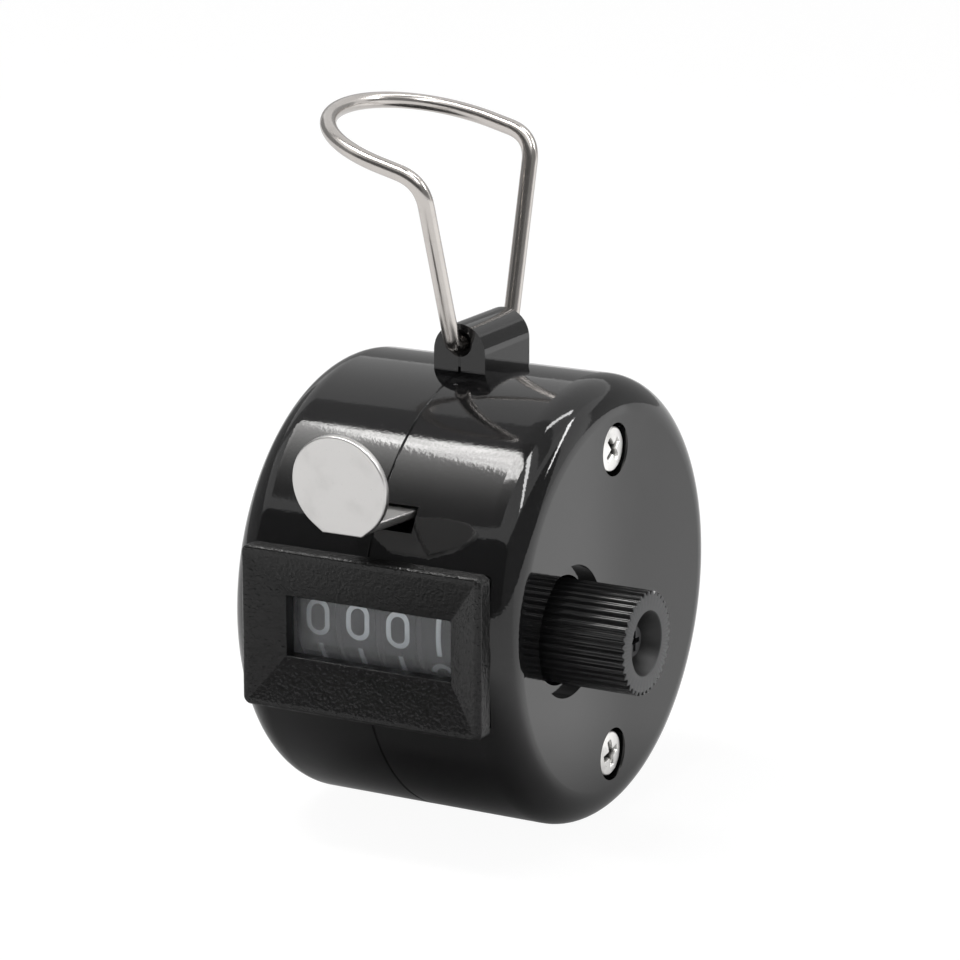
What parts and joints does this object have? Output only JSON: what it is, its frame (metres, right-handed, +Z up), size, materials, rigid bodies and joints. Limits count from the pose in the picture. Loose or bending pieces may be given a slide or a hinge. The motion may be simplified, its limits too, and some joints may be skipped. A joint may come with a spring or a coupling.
{
  "type": "hand tally counter",
  "caption": "Hand tally counter: drum case with number wheels behind a window, thumb lever, ridged reset knob and a folding wire finger ring.",
  "frame": {"origin": "centre of the drum's flat left face, on the drum's axis", "axes": "+X along the drum's axis from the left face towards the reset knob, -Y out of the window, +Z up through the finger ring"},
  "size_m": [0.0394, 0.0497, 0.0687],
  "materials": {
    "case_black": "polished black moulded ABS",
    "bezel_black": "black with a fine leather grain",
    "lens_clear": "clear polystyrene",
    "screw_nickel": "bright nickel-plated steel",
    "ring_nickel": "polished nickel-plated wire",
    "lever_steel": "satin nickel-plated sheet steel",
    "wheel_grey": "dark grey moulded acetal with pale printed figures",
    "carrier_dark": "dark grey moulded acetal",
    "pinion_white": "natural white acetal",
    "frame_steel": "zinc-plated steel",
    "spring_steel": "spring steel",
    "brass": "plain turned and stamped brass",
    "knob_black": "black moulded plastic",
    "screw_dark": "blackened steel"
  },
  "bodies": {
    "housing": {"left_shell": "case_black", "right_shell": "case_black", "front_bezel": "bezel_black", "window_lens": "lens_clear", "housing_screws": "screw_nickel", "left_frame_plate": "frame_steel", "right_frame_plate": "frame_steel", "frame_spacers": "frame_steel", "carrier_plate_1": "carrier_dark", "carrier_plate_2": "carrier_dark", "carrier_plate_3": "carrier_dark", "carrier_rod": "frame_steel", "lever_pivot_pin": "frame_steel", "lever_return_spring": "spring_steel", "holding_spring": "spring_steel"},
    "ring": {"finger_ring": "ring_nickel"},
    "lever": {"thumb_lever": "lever_steel", "pawl_pin": "frame_steel"},
    "pawl": {"drive_pawl": "lever_steel"},
    "reset_shaft": {"wheel_shaft": "frame_steel", "shaft_clip": "spring_steel", "shaft_bush": "brass", "reset_knob": "knob_black", "knob_screw": "screw_dark"},
    "units": {"units_wheel": "wheel_grey", "ratchet_wheel": "brass"},
    "tens": {"tens_wheel": "wheel_grey"},
    "hundreds": {"hundreds_wheel": "wheel_grey"},
    "thousands": {"thousands_wheel": "wheel_grey"},
    "pinion_1": {"transfer_pinion_1": "pinion_white"},
    "pinion_2": {"transfer_pinion_2": "pinion_white"},
    "pinion_3": {"transfer_pinion_3": "pinion_white"}
  },
  "joints": [
    {"name": "ring_swing", "type": "hinge", "parent": "housing", "child": "ring", "pos_m": [0.0153, 0.0014, 0.0246], "axis": [0, 1, 0], "range_deg": [-90, 90]},
    {"name": "lever_press", "type": "hinge", "parent": "housing", "child": "lever", "pos_m": [0.0153, -0.01281, 0.01299], "axis": [1, 0, 0], "range_deg": [0, 7], "stiffness_Nm_per_rad": 0.03, "springref_deg": -28.65, "deforming": ["lever_return_spring"]},
    {"name": "pawl_lift", "type": "hinge", "parent": "lever", "child": "pawl", "pos_m": [0.0231, 0.0005, 0.0025], "axis": [1, 0, 0], "range_deg": [0, 12], "stiffness_Nm_per_rad": 0.00005, "springref_deg": -28.65},
    {"name": "reset_turn", "type": "hinge", "parent": "housing", "child": "reset_shaft", "pos_m": [0.0153, -0.009, -0.0005], "axis": [1, 0, 0], "continuous": true},
    {"name": "units_turn", "type": "hinge", "parent": "housing", "child": "units", "pos_m": [0.0153, -0.009, -0.0005], "axis": [1, 0, 0], "continuous": true},
    {"name": "tens_turn", "type": "hinge", "parent": "housing", "child": "tens", "pos_m": [0.0153, -0.009, -0.0005], "axis": [1, 0, 0], "continuous": true},
    {"name": "hundreds_turn", "type": "hinge", "parent": "housing", "child": "hundreds", "pos_m": [0.0153, -0.009, -0.0005], "axis": [1, 0, 0], "continuous": true},
    {"name": "thousands_turn", "type": "hinge", "parent": "housing", "child": "thousands", "pos_m": [0.0153, -0.009, -0.0005], "axis": [1, 0, 0], "continuous": true},
    {"name": "pinion_1_turn", "type": "hinge", "parent": "housing", "child": "pinion_1", "pos_m": [0.0094, -0.00475, -0.0005], "axis": [1, 0, 0], "continuous": true},
    {"name": "pinion_2_turn", "type": "hinge", "parent": "housing", "child": "pinion_2", "pos_m": [0.0138, -0.00475, -0.0005], "axis": [1, 0, 0], "continuous": true},
    {"name": "pinion_3_turn", "type": "hinge", "parent": "housing", "child": "pinion_3", "pos_m": [0.0182, -0.00475, -0.0005], "axis": [1, 0, 0], "continuous": true}
  ],
  "couplings": [
    {"joint": "pinion_1_turn", "follows": "thousands_turn", "ratio": 3.3333},
    {"joint": "pinion_2_turn", "follows": "hundreds_turn", "ratio": 3.3333},
    {"joint": "pinion_3_turn", "follows": "tens_turn", "ratio": 3.3333}
  ]
}
